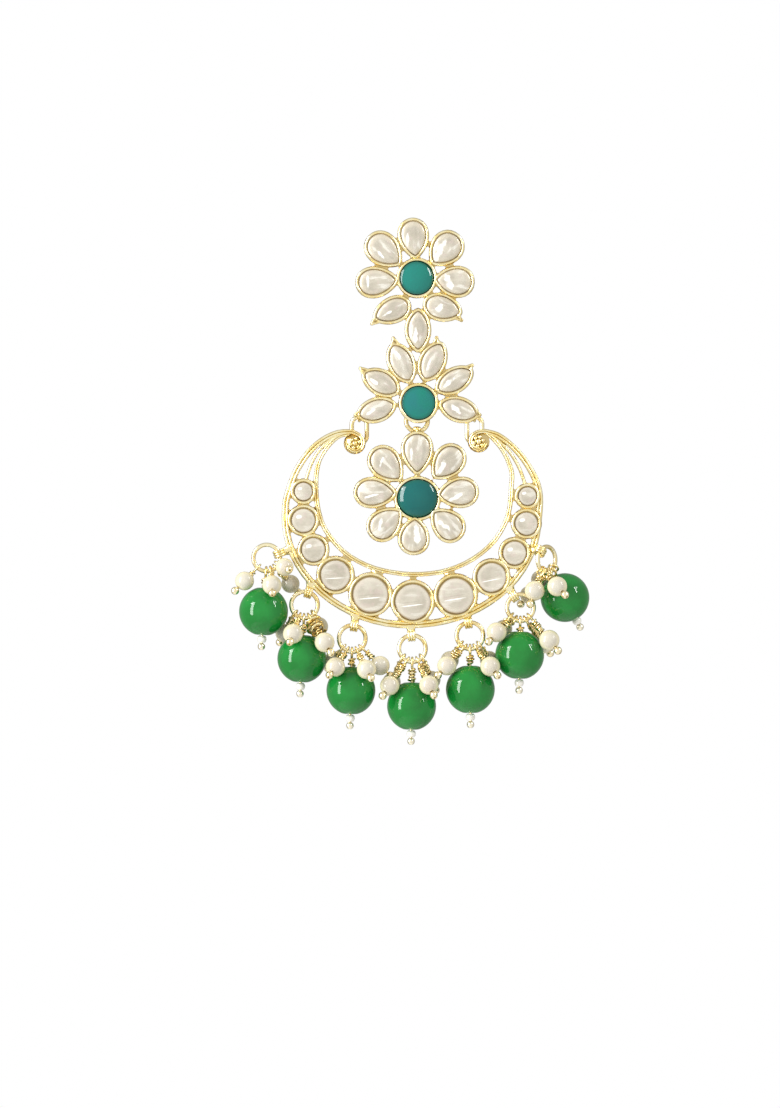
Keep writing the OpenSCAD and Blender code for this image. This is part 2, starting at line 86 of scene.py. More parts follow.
world = bpy.data.worlds.new("white_room")
world.use_nodes = True
scene.world = world
put, join = world.node_tree.nodes.new, world.node_tree.links.new
wall = world.node_tree.nodes["Background"]
fill(wall, {"Color": (1, 0.99, 0.97, 1)})
place, axes, bright = put("ShaderNodeTexCoord"), put("ShaderNodeSeparateXYZ"), put("ShaderNodeMapRange")
join(place.outputs["Generated"], axes.inputs["Vector"])
join(axes.outputs["Y"], bright.inputs["Value"])
fill(bright, {"From Min": -1.0, "From Max": 0.8, "To Min": 0.95, "To Max": 0.42})
join(bright.outputs["Result"], wall.inputs["Strength"])
seen, rays, pick = put("ShaderNodeBackground"), put("ShaderNodeLightPath"), put("ShaderNodeMixShader")
fill(seen, {"Color": (1, 1, 1, 1)})
join(rays.outputs["Is Camera Ray"], pick.inputs["Fac"])
join(wall.outputs["Background"], pick.inputs[1])
join(seen.outputs["Background"], pick.inputs[2])
join(pick.outputs["Shader"], world.node_tree.nodes["World Output"].inputs["Surface"])

floor_radius, floor_height = 0.6, -0.7
floor_bm = bmesh.new()
bmesh.ops.create_circle(floor_bm, cap_ends=True, segments=96, radius=floor_radius)
bmesh.ops.translate(floor_bm, vec=(view_middle.x, 0, floor_height), verts=floor_bm.verts)
floor = bpy.data.objects.new("floor", bpy.data.meshes.new("floor"))
floor_bm.to_mesh(floor.data)
floor_bm.free()
scene.collection.objects.link(floor)
pale = bpy.data.materials.new("pale_floor")
pale.use_nodes = True
fill(pale.node_tree.nodes["Principled BSDF"], {"Base Color": (0.93, 0.93, 0.92, 1), "Roughness": 0.8})
floor.data.materials.append(pale)


# Gold: every metal piece is brass plated with pale gold. Painted shade turns it brown and then
# nearly black down in the recesses and along the seams, and a few small balls are painted paler.
def uneven_group():
    """Hand-finished surface: two tones, a roughness and a relief that wander over the piece."""
    group = bpy.data.node_groups.new("uneven_finish", "ShaderNodeTree")
    face = group.interface
    number, colour = "NodeSocketFloat", "NodeSocketColor"
    for name, kind, value in (("Light", colour, (1, 1, 1, 1)), ("Dark", colour, (0, 0, 0, 1)),
                              ("Patch Scale", number, 400.0), ("Grain Scale", number, 3000.0),
                              ("Smooth", number, 0.2), ("Rough", number, 0.3)):
        face.new_socket(name, in_out="INPUT", socket_type=kind).default_value = value
    for name, kind in (("Color", colour), ("Roughness", number), ("Height", number)):
        face.new_socket(name, in_out="OUTPUT", socket_type=kind)
    put, join = group.nodes.new, group.links.new
    given, out = put("NodeGroupInput"), put("NodeGroupOutput")
    place = put("ShaderNodeTexCoord")
    patches, grain = put("ShaderNodeTexNoise"), put("ShaderNodeTexNoise")
    for noise, scale, detail in ((patches, "Patch Scale", 3), (grain, "Grain Scale", 2)):
        fill(noise, {"Detail": detail})
        join(place.outputs["Object"], noise.inputs["Vector"])
        join(given.outputs[scale], noise.inputs["Scale"])
    spread = put("ShaderNodeMapRange")
    fill(spread, {"From Min": 0.35, "From Max": 0.65})
    join(patches.outputs["Fac"], spread.inputs["Value"])
    tone = put("ShaderNodeMix")
    tone.data_type = "RGBA"
    join(spread.outputs["Result"], tone.inputs["Factor"])
    join(given.outputs["Dark"], tone.inputs["A"])
    join(given.outputs["Light"], tone.inputs["B"])
    rough = put("ShaderNodeMapRange")
    join(grain.outputs["Fac"], rough.inputs["Value"])
    join(given.outputs["Smooth"], rough.inputs["To Min"])
    join(given.outputs["Rough"], rough.inputs["To Max"])
    height = put("ShaderNodeMath")
    height.operation = "MULTIPLY_ADD"
    height.inputs[1].default_value = 0.3
    join(grain.outputs["Fac"], height.inputs[0])
    join(patches.outputs["Fac"], height.inputs[2])
    join(tone.outputs["Result"], out.inputs["Color"])
    join(rough.outputs["Result"], out.inputs["Roughness"])
    join(height.outputs["Value"], out.inputs["Height"])
    return group


uneven = uneven_group()


def tones(light, dark, patch_scale, grain_scale, smooth, rough):
    """What a finish gives the uneven group: two colours, two scales and two roughnesses."""
    return {"Light": light + (1,), "Dark": dark + (1,), "Patch Scale": patch_scale,
            "Grain Scale": grain_scale, "Smooth": smooth, "Rough": rough}


def new_finish(name, fixed, given, bump_strength, bump_depth):
    """A material: the shader's fixed values, and the uneven group with its tones feeding it."""
    material = bpy.data.materials.new(name)
    material.use_nodes = True
    tree = material.node_tree
    put, join = tree.nodes.new, tree.links.new
    shader, hand, bump = tree.nodes["Principled BSDF"], put("ShaderNodeGroup"), put("ShaderNodeBump")
    hand.node_tree = uneven
    fill(shader, fixed)
    fill(hand, given)
    fill(bump, {"Strength": bump_strength, "Distance": bump_depth})
    join(hand.outputs["Color"], shader.inputs["Base Color"])
    join(hand.outputs["Roughness"], shader.inputs["Roughness"])
    join(hand.outputs["Height"], bump.inputs["Height"])
    join(bump.outputs["Normal"], shader.inputs["Normal"])
    return material, tree, shader, hand


def masked(tree, old, colour, factor):
    """Lays a colour over another where the factor is high."""
    mix = tree.nodes.new("ShaderNodeMix")
    mix.data_type = "RGBA"
    fill(mix, {"B": colour + (1,)})
    tree.links.new(factor, mix.inputs["Factor"])
    tree.links.new(old, mix.inputs["A"])
    return mix.outputs["Result"]


def ramp(tree, value, low, high, start=0.0, end=1.0):
    """A smooth change from start to end while the value goes from low to high."""
    node = tree.nodes.new("ShaderNodeMapRange")
    node.interpolation_type = "SMOOTHSTEP"
    fill(node, {"From Min": low, "From Max": high, "To Min": start, "To Max": end})
    tree.links.new(value, node.inputs["Value"])
    return node.outputs["Result"]


def of_piece(tree, name):
    """A number that the piece carries at each of its points."""
    node = tree.nodes.new("ShaderNodeAttribute")
    node.attribute_name = name
    return node.outputs["Fac"]


# Gold's painted colours: a paler tone for knobs, and brown and near black for painted shade
whitened_gold, brown_gold, black_gold = (0.98, 0.93, 0.76), (0.53, 0.375, 0.13), (0.12, 0.07, 0.025)


def gold_finish(name, light, dark, smooth, rough, bump_strength):
    """Pale gold plate with painted shade, which goes brown and then nearly black down in a recess.
    A negative recess paints a knob paler, nearly white."""
    given = tones(light, dark, 480.0, 2600.0, smooth, rough)
    material, tree, shader, hand = new_finish(name, {"Metallic": 1.0}, given, bump_strength, 0.00005)
    recess = of_piece(tree, "recess")
    # A negative recess paints the gold paler; a positive one paints shade, brown and then near black
    whitened = masked(tree, hand.outputs["Color"], whitened_gold, ramp(tree, recess, 0.0, -1.0, 0, 0.9))
    browned = masked(tree, whitened, brown_gold, ramp(tree, recess, 0.0, 0.7, 0, 0.88))
    blackened = masked(tree, browned, black_gold, ramp(tree, recess, 0.7, 1.0, 0, 0.8))
    tree.links.new(blackened, shader.inputs["Base Color"])
    return material


cast_gold = gold_finish("cast_gold", (1.0, 0.92, 0.62), (0.94, 0.76, 0.34), 0.14, 0.28, 0.6)
wire_gold = gold_finish("wire_gold", (1.0, 0.92, 0.62), (0.86, 0.66, 0.28), 0.12, 0.22, 0.2)


def new_piece():
    """A bmesh whose points carry how far round a ring they are, and their recess, which sets the gold's
    painted shade.
    """
    bm = bmesh.new()
    for name in ("turn", "recess"):
        bm.verts.layers.float.new(name)
    return bm


def drawn(bm, steps, sides, place, closed=False, pointed=False):
    """Draws a ring of points on, step by step. place gives a point of it, and its recess."""
    turn, recess = bm.verts.layers.float["turn"], bm.verts.layers.float["recess"]
    ring = bmesh.ops.create_circle(bm, cap_ends=not closed, segments=sides, radius=1)["verts"]
    for v in ring:
        v[turn] = atan2(v.co.x, -v.co.y) % (2 * pi)
    first = edges = list({e for v in ring for e in v.link_edges})
    for step in range(steps):
        if step:
            made = bmesh.ops.extrude_edge_only(bm, edges=edges)["geom"]
            ring = [g for g in made if isinstance(g, bmesh.types.BMVert)]
            fresh = set(ring)
            edges = [g for g in made if isinstance(g, bmesh.types.BMEdge) and set(g.verts) <= fresh]
        for v in ring:
            v.co, v[recess] = place(step, v[turn])
    if closed:
        bmesh.ops.bridge_loops(bm, edges=first + edges)
    else:
        end = bmesh.ops.contextual_create(bm, geom=edges)["faces"]
        if pointed:
            bmesh.ops.poke(bm, faces=end)


sharp_edge, flat_back = radians(42), 0.9995


def finished(name, bm, material, body, slot, *stands_for):
    """Makes a finished piece of a bmesh: shaded smooth but at its sharp edges, and riding a body."""
    bmesh.ops.recalc_face_normals(bm, faces=bm.faces)
    if "turn" in bm.verts.layers.float:
        bm.verts.layers.float.remove(bm.verts.layers.float["turn"])
    mesh = bpy.data.meshes.new(name)
    bm.to_mesh(mesh)
    bm.free()
    mesh.shade_smooth()
    mesh.set_sharp_from_angle(angle=sharp_edge)
    for face in mesh.polygons:
        # The back is one flat plane
        face.use_smooth = face.normal.y < flat_back
    mesh.materials.append(material)
    piece = bpy.data.objects.new(name, mesh)
    scene.collection.objects.link(piece)
    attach(piece, body)
    if stands_for:
        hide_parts(*stands_for)


# Flower castings: the stud's two flowers and the hanging flower. A strip of brass is bent round
# each stone as its bezel, rounded over at the front, and all are soldered on a pierced plate.
# The tip of a bezel may be drawn out to a thorn, which turns and reaches away from the stone.
Stone = namedtuple("Stone", "x z bearing length width form thorn_turn thorn_reach", defaults=("round", 0, 0))
flowers = {
    "top": ((-0.62, 7.35, -6, 6.4, 4.6, "pear"), (5.25, 5.3, 43, 6.3, 5.0, "pear"),
            (6.9, -0.65, 95, 6.4, 4.7, "pear"), (4.78, -5.55, 106, 6.3, 4.0, "leaf", 57, 1.5),
            (0.2, -9.7, 180, 7.0, 3.7, "marquise"), (-4.65, -6.05, 246, 6.3, 3.8, "leaf", -30, 1.4),
            (-7.4, -0.75, 265, 6.8, 4.7, "pear"), (-6.05, 5.1, 311, 6.8, 5.0, "pear")),
    "middle": ((-2.9, -15.75, -25, 6.9, 3.9, "almond", 24, 1.45),
               (2.9, -15.5, 25, 6.8, 3.9, "almond", -52, 1.5),
               (6.95, -19.0, 60, 6.7, 3.6, "almond", -41, 1.15),
               (7.8, -24.4, 107, 6.5, 3.6, "almond", -12, 0.75),
               (-7.5, -24.5, 253, 6.4, 3.5, "almond", 18, 0.85),
               (-6.65, -19.4, 298, 6.6, 3.7, "almond", 22, 1.4)),
    "pendant": ((0.05, -32.45, 0, 6.9, 4.8, "pear"), (5.65, -34.25, 42, 6.5, 4.7, "pear"),
                (7.6, -39.85, 83, 6.6, 4.6, "pear"), (5.55, -45.7, 133, 6.2, 4.7, "pear"),
                (-0.55, -47.85, 184, 5.9, 4.7, "pear"), (-5.8, -45.5, 229, 6.4, 4.7, "pear"),
                (-7.75, -39.85, 272, 6.8, 4.6, "pear"), (-5.6, -34.65, 317, 6.7, 4.8, "pear")),
}
flower_stones = {f"{flower}_stone_{number}": Stone(*row) for flower, rows in flowers.items()
                 for number, row in enumerate(rows, 1)}
teal_stones = {"teal_stone_top": Stone(0, 0, 0, 6.25, 6.25),
               "teal_stone_middle": Stone(0.3, -23.2, 0, 6.2, 6.2),
               "teal_stone_pendant": Stone(0.1, -40.9, 0, 7.05, 7.45)}
# A bezel's section, from the stone over its crest to its foot: (margin, depth, recess)
# In this and the collar's section the recess is painted shade, darkest on the inner wall and at the foot
bezel_section = [
    (0.05, 0.7, 1), (0.05, 1.5, 0.8), (0.07, 1.66, 0.45), (0.11, 1.78, 0.12),
    (0.18, 1.86, 0), (0.3, 1.9, 0), (0.42, 1.87, 0), (0.52, 1.77, 0),
    (0.585, 1.6, 0.08), (0.6, 1.38, 0.25), (0.6, 1.05, 0.5), (0.6, 0.7, 0.7),
]
collar_section = [
    (0.05, 0.7, 1), (0.05, 1.44, 0.5), (0.07, 1.54, 0.05), (0.12, 1.62, 0),
    (0.2, 1.66, 0), (0.32, 1.66, 0), (0.44, 1.63, 0), (0.53, 1.56, 0),
    (0.585, 1.45, 0.08), (0.6, 1.3, 0.25), (0.6, 1, 0.5), (0.6, 0.7, 0.7),
]
# The gap between stone and bezel, and the bezel's outer edge
stone_gap, bezel_edge = 0.05, 0.6
# A thorn: its start inside the stone's end, half its width there and at its tip, and its point
thorn_start, thorn_root, thorn_tip, thorn_point = 0.9, 1.4, 0.34, 0.4


def outline(stone, turn):
    """A point of a stone's outline, turn being measured round it from its foot."""
    turn %= 2 * pi
    across, up = stone.width / 2 * sin(turn), -stone.length / 2 * cos(turn)
    if stone.form in ("marquise", "almond"):
        return Vector((across * abs(sin(turn)) ** (0.5 if stone.form == "marquise" else 0.3), up))
    k = {"pear": 0.55, "leaf": 0.35, "round": 0.0}[stone.form]
    widest = 2 * asin(sqrt((1 + k) / (2 + k)))
    across *= sin(turn / 2) ** k / (sin(widest) * sin(widest / 2) ** k)
    return Vector((-across, -up) if stone.form == "leaf" else (across, up))


def in_place(stone, flat, depth):
    """A point of a stone's own plane, turned to the stone's bearing and moved to its place."""
    b = radians(stone.bearing)
    across, up = flat.x * cos(b) + flat.y * sin(b), flat.y * cos(b) - flat.x * sin(b)
    return Vector((stone.x + across, -depth, stone.z + up)) * mm


def with_thorn(stone, point):
    """A point on a bezel's outer edge, moved out to the edge of its thorn, and how near it is to the
    thorn's point, from 0 to 1."""
    heart = Vector((0, stone.length / 2 - thorn_start))
    a = radians(stone.thorn_turn)
    tip = Vector((stone.thorn_reach * sin(a), thorn_start + stone.thorn_reach * cos(a)))
    end = tip + thorn_point * Vector((sin(a), cos(a)))
    off = point - heart
    from_end = atan2(off.x, off.y) - atan2(end.x, end.y)
    if not stone.thorn_reach or off.y <= 0:
        return point, 0.0
    bearing = atan2(end.x, end.y) + from_end * min(1.0, abs(from_end) / 0.25)
    way = Vector((sin(bearing), cos(bearing)))
    corners = [Vector((thorn_root, 0)), tip + Vector((thorn_tip, 0)), end, tip - Vector((thorn_tip, 0)),
               Vector((-thorn_root, 0))]
    reach = [p.cross(q - p) / (way.cross(q - p) or 1e-9) for p, q in zip(corners, corners[1:])]
    reach = min(r for r in reach if r > 0)
    return (heart + reach * way if reach > off.length else point), max(0.0, 1 - abs(from_end) / 0.35)


def setting_point(stone, turn, margin, depth):
    """A point round a stone: its outline grown by a margin, and by a thorn drawn out to a point.
    No bezel is quite even, so a wide margin wavers a little."""
    margin += max(0.0, margin - stone_gap) * 0.07 * sin(3 * turn + 5 * stone.x + stone.z)
    along = outline(stone, turn + 0.02) - outline(stone, turn - 0.02)
    edge, out = outline(stone, turn), Vector((along.y, -along.x)).normalized()
    flat = edge + margin * out
    if margin > stone_gap:
        outer = with_thorn(stone, edge + bezel_edge * out)[0]
        flat = (edge + stone_gap * out).lerp(outer, (margin - stone_gap) / (bezel_edge - stone_gap))
    return in_place(stone, flat, depth)


def bezel(bm, stone, section, sides=64):
    """A bezel round a stone. A thorn has a small pit at its root, painted dark as painted shade."""
    pit_margin, pit_half, pit_depth = 0.28, 0.17, 0.5

    def place(step, turn):
        margin, depth, recess = section[step]
        thorn = with_thorn(stone, 1.1 * outline(stone, turn))[1]
        pit = thorn * max(0.0, 1 - abs(margin - pit_margin) / pit_half)
        return setting_point(stone, turn, margin, depth - pit_depth * pit), max(recess, min(1.0, 1.5 * pit))
    drawn(bm, len(section), sides, place, closed=True)


plate_front = 0.79


def plate(bm):
    """The pierced plate behind the bezels: the casting's own solid, up to the plate's front."""
    recess = bm.verts.layers.float["recess"]
    bmesh.ops.bisect_plane(bm, geom=bm.verts[:] + bm.edges[:] + bm.faces[:], dist=1e-7,
                           plane_co=(0, -plate_front * mm, 0), plane_no=(0, -1, 0), clear_outer=True)
    edges = [e for e in bm.edges if e.is_boundary]
    bmesh.ops.triangle_fill(bm, edges=edges, use_beauty=True, normal=(0, -1, 0))
    # The plate's front, down between the bezels, is painted brown as painted shade, and the rest a little
    for v in bm.verts:
        v[recess] = 0.5 if v.co.y < -0.5 * mm else 0.15


def cast_piece(node):
    """A copy of a piece of the frame, with its triangles merged."""
    bm = new_piece()
    bm.from_mesh(cad[node].data)
    bmesh.ops.remove_doubles(bm, verts=bm.verts, dist=2e-6)
    bmesh.ops.dissolve_degenerate(bm, dist=1e-7, edges=bm.edges)
    return bm


eye_strip = 2.6
for name, node, body, starts in (("stud_casting", "stud_frame", "stud", ("top", "middle")),
                                 ("pendant_casting", "pendant_frame", "pendant", ("pendant",))):
    bm = cast_piece(node)
    plate(bm)
    for stone_name, stone in flower_stones.items():
        if stone_name.startswith(starts):
            bezel(bm, stone, bezel_section)
    for stone_name, stone in teal_stones.items():
        if stone_name.split("_")[2] in starts:
            bezel(bm, stone, collar_section, 72)
    if node == "pendant_frame":
        # The eye at the top is bent from a strip, so it is wider than round wire
        for v in bm.verts:
            if v.co.y > 0.01 * mm:
                v.co.x *= eye_strip
    finished(name, bm, cast_gold, body, "gold", node)

# Ear post: a short piece of gold wire with a flat foot, soldered to the back of the upper
# flower. It goes through the ear, and holds the whole earring.
finished("gold_ear_post", cast_piece("ear_post"), wire_gold, "stud", "gold", "ear_post")

# Crescent casting: pairs of drawn wires for the two rims, curled into scrolls, three wires in
# each horn, eleven round bezels with a wide band painted dark as painted shade, and seven wound bails below.
crescent_stones = [Stone(x, z, 0, width, width) for x, z, width in (
    (-21.05, -39.6, 3.6), (-21.05, -44.95, 4.7), (-19.2, -50.4, 4.7), (-15.1, -55.1, 5.9),
    (-8.6, -58.7, 7.0), (-0.75, -60.05, 7.0), (7.2, -58.9, 7.0), (13.85, -55.5, 5.8),
    (18.1, -51.0, 4.7), (20.3, -45.55, 4.5), (20.5, -40.45, 3.6),
)]
outer_middle, inner_middle = Vector((-0.75, -40.7)), Vector((-0.55, -36.9))
outer_width, inner_width = 1.25, 0.8
# Edges of the crescent round its lower part: bearing, radius outside, radius inside
rim_edges = [
    (266, 24.3, 17.8), (254, 24.95, 18.25), (240, 25.3, 18.75), (224, 25.1, 18.65), (208, 24.75, 18.2),
    (192, 24.45, 17.75), (176, 24.2, 17.7), (160, 24.35, 18.0), (144, 24.65, 18.35), (128, 24.95, 18.65),
    (112, 24.8, 18.45), (96, 24.2, 17.75),
]
# Middle lines of the wires in each horn, left and right, from the scroll down
outer_horns = [
    [(-12.1, -28.5), (-14.7, -28.7), (-17.6, -30.1), (-20.1, -32.4), (-22.2, -35.5), (-23.6, -39.0)],
    [(12.6, -28.4), (14.9, -29.1), (17.0, -30.6), (19.4, -33.1), (21.4, -36.2), (22.6, -39.3)],
]
inner_horns = [
    [(-12.6, -28.9), (-14.5, -29.4), (-16.5, -31.2), (-18.0, -33.6), (-18.6, -36.0)],
    [(13.0, -28.8), (14.3, -30.0), (15.7, -31.7), (16.9, -33.9), (17.6, -36.2)],
]
middle_horns = [
    [(-14.3, -29.1), (-16.2, -30.1), (-18.2, -32.0), (-19.7, -34.7), (-20.6, -37.6)],
    [(13.8, -29.2), (15.6, -30.6), (17.5, -32.7), (19.1, -35.5), (20.1, -38.4)],
]
# Each scroll: its middle, and which way it curls
scrolls = [(-11.55, -30.65, 1), (11.45, -30.35, -1)]
# Each drop: where its ring hangs and how far it is turned, the bearing of its bail on the rim,
# and the middle of its green bead
Drop = namedtuple("Drop", "x z yaw bail bead")
drops = [
    Drop(-27.85, -51.95, 0, 247, (-28.45, -0.7, -61.85)), Drop(-20.85, -60.65, 0, 230, (-21.35, -0.7, -70.6)),
    Drop(-12.0, -66.9, 0, 206, (-12.25, -0.7, -76.5)), Drop(-0.85, -68.75, 0, 181, (-1.0, -0.7, -79.4)),
    Drop(9.85, -66.35, 0, 155, (9.9, -0.7, -76.3)), Drop(19.2, -61.15, 0, 133, (19.05, -0.7, -69.95)),
    Drop(24.05, -52.3, 48, 113, (27.5, 2.2, -59.3)),
]
ring_radius, ring_wire, ring_y = 2.475, 0.4, -0.7


def rim_edge(bearing):
    """Radius of the crescent's outer edge at a bearing."""
    for (high, at_high, _), (low, at_low, _) in zip(rim_edges, rim_edges[1:]):
        if low <= bearing <= high:
            return at_high + (at_low - at_high) * (high - bearing) / (high - low)


def bearing_point(middle, bearing, radius):
    return middle + radius * Vector((sin(radians(bearing)), cos(radians(bearing))))


def smooth_path(points, steps=4):
    """A smooth curve through points, as a list of closer ones."""
    p = [Vector(point) for point in points]
    path = []
    for i in range(len(p) - 1):
        a, b, c, d = p[max(i - 1, 0)], p[i], p[i + 1], p[min(i + 2, len(p) - 1)]
        for j in range(steps):
            u = j / steps
            bend = (2 * a - 5 * b + 4 * c - d) * u * u + (3 * b - a - 3 * c + d) * u ** 3
            path.append(0.5 * (2 * b + (c - a) * u + bend))
    return path + [p[-1]]


def laid_wire(bm, path, section, sides=12):
    """A wire laid along a path on the plate. section gives its side shift, half width and front
    depth. It is painted dark along the groove at its foot, as painted shade."""
    last, wire_back = len(path) - 1, 0.6

    def place(step, turn):
        along = path[min(step + 1, last)] - path[max(step - 1, 0)]
        shift, half, depth = section(step)
        flat = path[step] + (shift + half * sin(turn)) * Vector((-along.y, along.x)).normalized()
        crest = 0.5 + 0.5 * cos(turn)
        point = Vector((flat.x, -(wire_back + (depth - wire_back) * crest), flat.y)) * mm
        return point, max(0.0, 1.05 - 1.5 * crest)
    drawn(bm, last + 1, sides, place)


def curl(scroll, start):
    """The curl of the outer rim round its scroll, from the tip of the curl out to the rim's end."""
    middle, way, radius, closing = Vector(scroll[:2]), scroll[2], 1.64, 0.0011
    off = start - middle
    bearing = degrees(atan2(off.x, off.y))
    return [bearing_point(middle, bearing + way * turned,
                          radius - closing * turned + (off.length - radius) * exp(-turned / 28))
            for turned in range(285, 0, -15)]


def faces_near(bm, at, reach):
    return [f for f in bm.faces if (f.calc_center_median() - at * mm).length < reach * mm]


bm = cast_piece("crescent_frame")
for drop in drops:
    # The casting's plain bails come off, for the wound ones to take their place
    b = radians(drop.bail)
    way = Vector((sin(b), 0, cos(b)))
    at = Vector((outer_middle.x, 0, outer_middle.y)) + (rim_edge(drop.bail) + 0.15) * way
    near = faces_near(bm, at, 4.5)
    geom = near + list({e for f in near for e in f.edges}) + list({v for f in near for v in f.verts})
    bmesh.ops.bisect_plane(bm, geom=geom, dist=1e-7, plane_co=at * mm, plane_no=way)
    off = [f for f in faces_near(bm, at, 5.5) if (f.calc_center_median() - at * mm).dot(way) > 1e-7]
    bmesh.ops.delete(bm, geom=off, context="FACES")
    bmesh.ops.holes_fill(bm, edges=[e for e in bm.edges if e.is_boundary], sides=0)
plate(bm)

for column, middle, horns, width, end_width, front_depth in (
        (1, outer_middle, outer_horns, outer_width, 0.75, 1.27),
        (2, inner_middle, inner_horns, inner_width, 0.65, 1.22)):
    inset = -width / 2 if column == 1 else width / 2
    lower = [bearing_point(middle, row[0], row[column] + inset) for row in rim_edges]
    rim = smooth_path(horns[0] + lower + horns[1][::-1])
    before, after = [], []
    if column == 1:
        before, after = curl(scrolls[0], rim[0]), curl(scrolls[1], rim[-1])[::-1]
    path = before + rim + after
    for side in (-1, 1):
        # A rim is two wires side by side, which grow thinner to the horns and to the curls' tips
        def section(step):
            share = min(1.0, max(0.0, (step - len(before)) / (len(rim) - 1)))
            whole = end_width
            if 0 < share < 1:
                whole += (width - end_width) * sqrt(sin(pi * share))
            from_tip = min(step, len(path) - 1 - step) / 10 if before else 1
            whole *= 0.72 + 0.28 * min(1.0, from_tip)
            return side * 0.255 * whole, 0.245 * whole + 0.01, front_depth
        laid_wire(bm, path, section)
for horn in middle_horns:
    laid_wire(bm, smooth_path(horn), lambda step: (0, 0.26, 1.12))

# The bezels of the crescent reach over the edge of the stone in a wide band, wider above it, painted dark
# brown as painted shade of the bezel's inner wall
shaded_band_section = [
    (-0.2, 0.7, 1), (-0.2, 1.6, 0.95), (-0.14, 1.66, 0.84), (-0.06, 1.71, 0.86), (0.02, 1.76, 0.86),
    (0.09, 1.86, 0.42), (0.2, 1.91, 0), (0.32, 1.91, 0), (0.43, 1.87, 0), (0.51, 1.78, 0),
    (0.56, 1.6, 0.1), (0.57, 1.35, 0.3), (0.57, 0.7, 0.7),
]


def shaded_band_bezel(bm, stone):
    """A bezel with its band painted dark as painted shade, which is narrower on a small stone."""
    share = 0.45 + 0.55 * min(1.0, (stone.width - 3.6) / 2.2)

    def place(step, turn):
        margin, depth, recess = shaded_band_section[step]
        if margin < 0:
            margin *= share * (1.0 - 0.5 * cos(turn))
        return setting_point(stone, turn, margin, depth), recess
    drawn(bm, len(shaded_band_section), 64, place, closed=True)


for stone in crescent_stones:
    shaded_band_bezel(bm, stone)


def standing(start, way, wire):
    """The place of a piece that stands on a point, with z along the way and x as near as it can be
    to the wire."""
    z = Vector(way).normalized()
    x = (Vector(wire) - Vector(wire).dot(z) * z).normalized()
    return Matrix((*zip(x, z.cross(x), z, start), (0, 0, 0, 1)))


def ring_across(drop):
    """The way across a drop's jump ring, from left to right."""
    return Vector((cos(radians(drop.yaw)), sin(radians(drop.yaw)), 0))


def ring_point(drop, bearing):
    """A point on a jump ring's middle line and the way of its wire there, from straight down."""
    across = ring_across(drop)
    b = radians(bearing)
    middle = Vector((drop.x, ring_y, drop.z))
    point = middle + ring_radius * (sin(b) * across - cos(b) * Vector((0, 0, 1)))
    return point, cos(b) * across + sin(b) * Vector((0, 0, 1))


def joined(bm, part, matrix):
    """Puts a small part in its place, given in millimetres, and joins it to a piece."""
    at = matrix.copy()
    at.translation *= mm
    bmesh.ops.recalc_face_normals(part, faces=part.faces)
    bmesh.ops.transform(part, matrix=at, verts=part.verts)
    held = bpy.data.meshes.new("held")
    part.to_mesh(held)
    part.free()
    bm.from_mesh(held)
    bpy.data.meshes.remove(held)


def spun(bm, geom, steps, angle, merged, climb=0.0):
    """Spins a profile round the z axis, and up it by the climb of each step."""
    bmesh.ops.spin(bm, geom=geom, cent=(0, 0, 0), axis=(0, 0, 1), steps=steps, angle=angle,
                   dvec=(0, 0, climb), use_merge=merged, use_duplicate=False)


def wire_profile(bm, radius, wire, sides, shut, height=0.0):
    """The round end of a wire, at a radius on the x axis, ready to be spun round z."""
    at = Matrix.Translation((radius, 0, height)) @ Matrix.Rotation(radians(90), 4, "X")
    return bmesh.ops.create_circle(bm, cap_ends=shut, segments=sides, radius=wire, matrix=at)["verts"]


def wire_ring(bm, radius, wire, cut=0.0, steps=64, sides=14, turn=90):
    """A ring of wire in the x-y plane, open by the cut at a bearing from the x axis."""
    profile = wire_profile(bm, radius, wire, sides, cut > 0)
    open_angle = cut / radius
    to_cut = Matrix.Rotation(radians(turn) + open_angle / 2, 3, "Z")
    bmesh.ops.rotate(bm, verts=profile, cent=(0, 0, 0), matrix=to_cut)
    edges, faces = {e for v in profile for e in v.link_edges}, {f for v in profile for f in v.link_faces}
    spun(bm, list(profile) + list(edges) + list(faces), steps, 2 * pi - open_angle, cut == 0)


def drop_bail(bm, drop):
    """Three turns of wire round the jump ring, and the solder that holds them to the rim."""
    flat = bearing_point(outer_middle, drop.bail, rim_edge(drop.bail) - outer_width / 2)
    rim = Vector((flat.x, ring_y, flat.y))
    held, wire = ring_point(drop, 180 - degrees(atan2(rim.x - drop.x, rim.z - drop.z)))
    reach, solder_start = (rim - held).length, 0.75
    for shift in (-0.47, 0, 0.47):
        turn_of_wire = new_piece()
        wire_ring(turn_of_wire, 0.93 * mm, 0.25 * mm, steps=28, sides=10)
        joined(bm, turn_of_wire, standing(held + shift * wire, wire, rim - held))
    solder = new_piece()
    bmesh.ops.create_cone(solder, cap_ends=True, segments=20, radius1=0.62 * mm, radius2=1.1 * mm,
                          depth=(reach - solder_start) * mm)
    for v in solder.verts:
        v.co.y *= 0.62
    bmesh.ops.translate(solder, verts=solder.verts, vec=(0, 0, (reach + solder_start) / 2 * mm))
    joined(bm, solder, standing(held, rim - held, wire))


for drop in drops:
    drop_bail(bm, drop)

for x, z, way in scrolls:
    # A cluster of gold grains fills each scroll: six round a larger one
    for grain in range(7):
        ball, size = new_piece(), 0.36 if grain else 0.5
        bmesh.ops.create_uvsphere(ball, u_segments=20, v_segments=14, radius=size * mm)
        recess = ball.verts.layers.float["recess"]
        # Each grain is painted darker towards its back, as painted shade
        for v in ball.verts:
            v[recess] = max(0.0, min(0.8, 0.3 + 1.2 * v.co.y / (size * mm)))
        at = bearing_point(Vector((x, z)), 60 * grain * way + 15, 0.86 if grain else 0.0)
        joined(bm, ball, Matrix.Translation((at.x, -1.0 if grain else -1.2, at.y)))
finished("crescent_casting", bm, cast_gold, "crescent", "gold", "crescent_frame")
